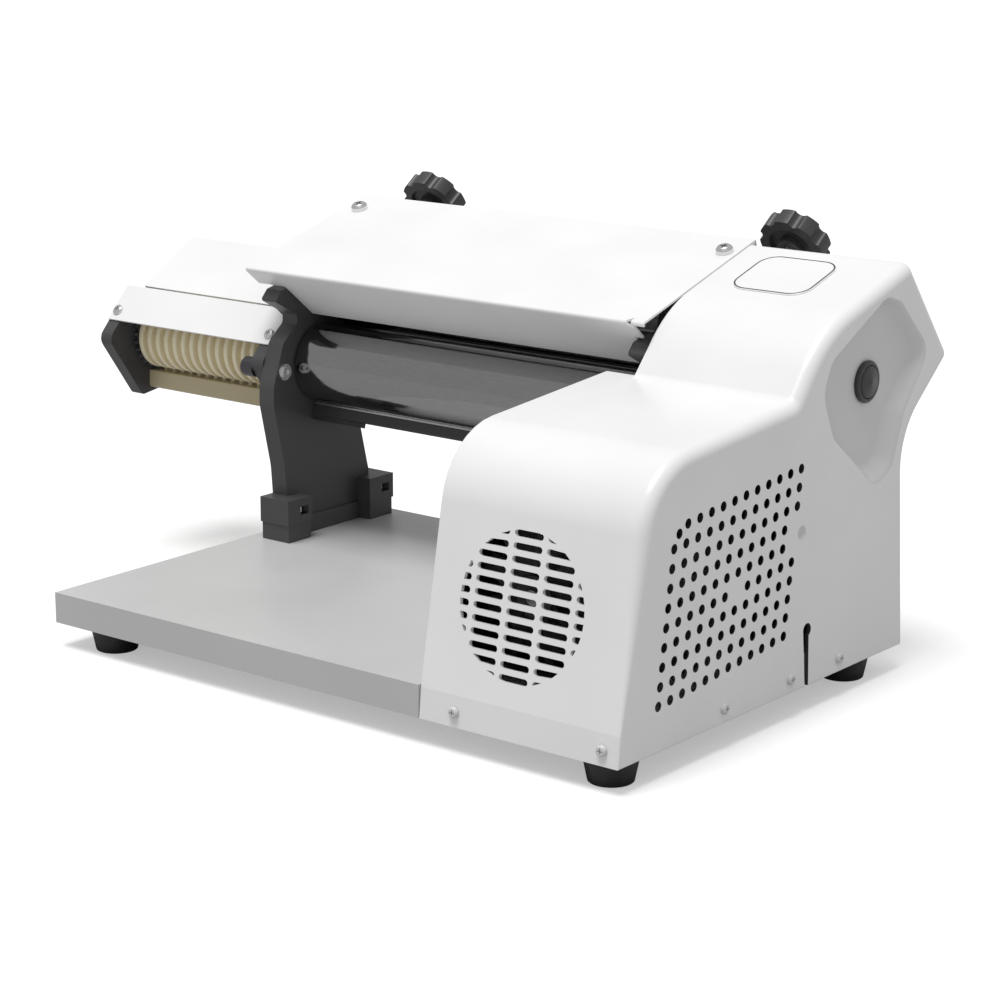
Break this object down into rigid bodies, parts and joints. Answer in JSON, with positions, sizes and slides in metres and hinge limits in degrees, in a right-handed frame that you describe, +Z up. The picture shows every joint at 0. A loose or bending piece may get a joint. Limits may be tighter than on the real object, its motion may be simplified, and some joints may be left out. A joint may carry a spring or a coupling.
{
  "type": "electric pasta roller machine",
  "caption": "Electric dough sheeter: polished rollers between cast stands, a geared motor in a white vented housing, and a strand cutter head with ringed rollers at the end.",
  "frame": {"origin": "centre of the bounding box in plan, on the floor plane under the feet", "axes": "+X along the rollers from the cutter head to the motor housing, +Y to the back where the knobs are, +Z up"},
  "size_m": [0.6676, 0.425, 0.3044],
  "materials": {
    "housing_white": "gloss",
    "painted_white": "gloss",
    "zinc_plate": "satin",
    "rubber_black": "matte",
    "bright_screw": "satin",
    "stand_grey": "satin",
    "dark_screw": "satin",
    "polished_roller": "polished",
    "gear_steel": "satin",
    "bush_bronze": "satin",
    "carriage_steel": "satin",
    "knob_black": "matte",
    "switch_black": "gloss",
    "plate_silver": "satin",
    "motor_grey": "satin",
    "winding_copper": "satin",
    "gear_bronze": "satin",
    "inner_black": "matte",
    "cutter_ivory": "satin",
    "cutter_end_grey": "satin"
  },
  "bodies": {
    "machine_frame": {"base_tray": "painted_white", "bottom_plate": "zinc_plate", "feet": "rubber_black", "foot_screws": "bright_screw", "cover": "housing_white", "cover_screws": "bright_screw", "inner_panel": "zinc_plate", "nameplate": "plate_silver", "switch_bezel": "switch_black", "switch_body": "inner_black", "left_stand": "stand_grey", "right_stand": "stand_grey", "left_foot_rail": "stand_grey", "right_foot_rail": "stand_grey", "stand_bolts": "bright_screw", "tie_rods": "bright_screw", "tie_rod_screws": "dark_screw", "front_bushes": "bush_bronze", "front_scraper": "zinc_plate", "scraper_bar": "stand_grey", "top_guard": "painted_white", "guard_screws": "bright_screw", "motor_body": "motor_grey", "motor_end_bell": "motor_grey", "motor_bearings": "bright_screw", "motor_mount": "stand_grey", "gearbox_case": "motor_grey", "gearbox_lid": "motor_grey", "capacitor": "plate_silver", "terminal_block": "inner_black", "cutter_left_plate": "cutter_end_grey", "cutter_right_plate": "cutter_end_grey", "cutter_combs": "cutter_ivory", "cutter_feed_plates": "painted_white", "cutter_screws": "bright_screw", "cutter_clamp_nuts": "dark_screw"},
    "motor_rotor": {"motor_shaft": "gear_steel", "armature": "winding_copper", "worm": "gear_steel", "cooling_fan": "inner_black"},
    "output_train": {"output_shaft": "gear_steel", "worm_wheel": "gear_bronze", "drive_pinion": "gear_steel"},
    "front_roll": {"front_roller": "polished_roller", "front_roller_gear": "gear_steel"},
    "carriages": {"left_carriage": "carriage_steel", "right_carriage": "carriage_steel", "rear_bushes": "bush_bronze", "rear_scraper": "zinc_plate"},
    "rear_roll": {"rear_roller": "polished_roller", "rear_roller_gear": "gear_steel"},
    "left_adjuster": {"left_knob": "knob_black", "left_spindle": "bright_screw"},
    "right_adjuster": {"right_knob": "knob_black", "right_spindle": "bright_screw"},
    "cutter_front": {"cutter_front_roller": "cutter_ivory", "cutter_front_gear": "gear_steel"},
    "cutter_rear": {"cutter_rear_roller": "cutter_ivory", "cutter_rear_gear": "gear_steel"},
    "push_button": {"switch_button": "switch_black"}
  },
  "joints": [
    {"name": "motor_spin", "type": "hinge", "parent": "machine_frame", "child": "motor_rotor", "pos_m": [0.2455, -0.11032, 0.106], "axis": [0, 1, 0], "continuous": true},
    {"name": "output_spin", "type": "hinge", "parent": "machine_frame", "child": "output_train", "pos_m": [0.2455, -0.00351, 0.143], "axis": [1, 0, 0], "continuous": true},
    {"name": "front_roller_spin", "type": "hinge", "parent": "machine_frame", "child": "front_roll", "pos_m": [0.0216, 0.04538, 0.1725], "axis": [1, 0, 0], "continuous": true},
    {"name": "gap_slide", "type": "slide", "parent": "machine_frame", "child": "carriages", "axis": [0, 0.807, 0.5906], "range_m": [0, 0.0054]},
    {"name": "rear_roller_spin", "type": "hinge", "parent": "carriages", "child": "rear_roll", "pos_m": [0.0216, 0.09622, 0.20971], "axis": [1, 0, 0], "continuous": true},
    {"name": "left_knob_turn", "type": "hinge", "parent": "machine_frame", "child": "left_adjuster", "pos_m": [-0.149, 0.19164, 0.27955], "axis": [0, -0.807, -0.5906], "range_deg": [0, 1296.5]},
    {"name": "right_knob_turn", "type": "hinge", "parent": "machine_frame", "child": "right_adjuster", "pos_m": [0.1922, 0.19164, 0.27955], "axis": [0, -0.807, -0.5906], "range_deg": [0, 1296.5]},
    {"name": "cutter_front_spin", "type": "hinge", "parent": "machine_frame", "child": "cutter_front", "pos_m": [-0.2448, 0.04538, 0.1725], "axis": [1, 0, 0], "continuous": true},
    {"name": "cutter_rear_spin", "type": "hinge", "parent": "machine_frame", "child": "cutter_rear", "pos_m": [-0.2448, 0.08411, 0.20085], "axis": [1, 0, 0], "continuous": true},
    {"name": "switch_press", "type": "slide", "parent": "machine_frame", "child": "push_button", "axis": [-1, 0, 0], "range_m": [0, 0.0025], "stiffness_N_per_m": 500, "springref_m": -0.0002}
  ],
  "couplings": [
    {"joint": "output_spin", "follows": "motor_spin", "ratio": 0.035714},
    {"joint": "front_roller_spin", "follows": "motor_spin", "ratio": -0.028912},
    {"joint": "rear_roller_spin", "follows": "motor_spin", "ratio": 0.028912},
    {"joint": "cutter_front_spin", "follows": "motor_spin", "ratio": -0.028912},
    {"joint": "cutter_rear_spin", "follows": "motor_spin", "ratio": 0.028912},
    {"joint": "left_knob_turn", "follows": "gap_slide", "rad_per_m": 4188.8},
    {"joint": "right_knob_turn", "follows": "gap_slide", "rad_per_m": 4188.8}
  ]
}
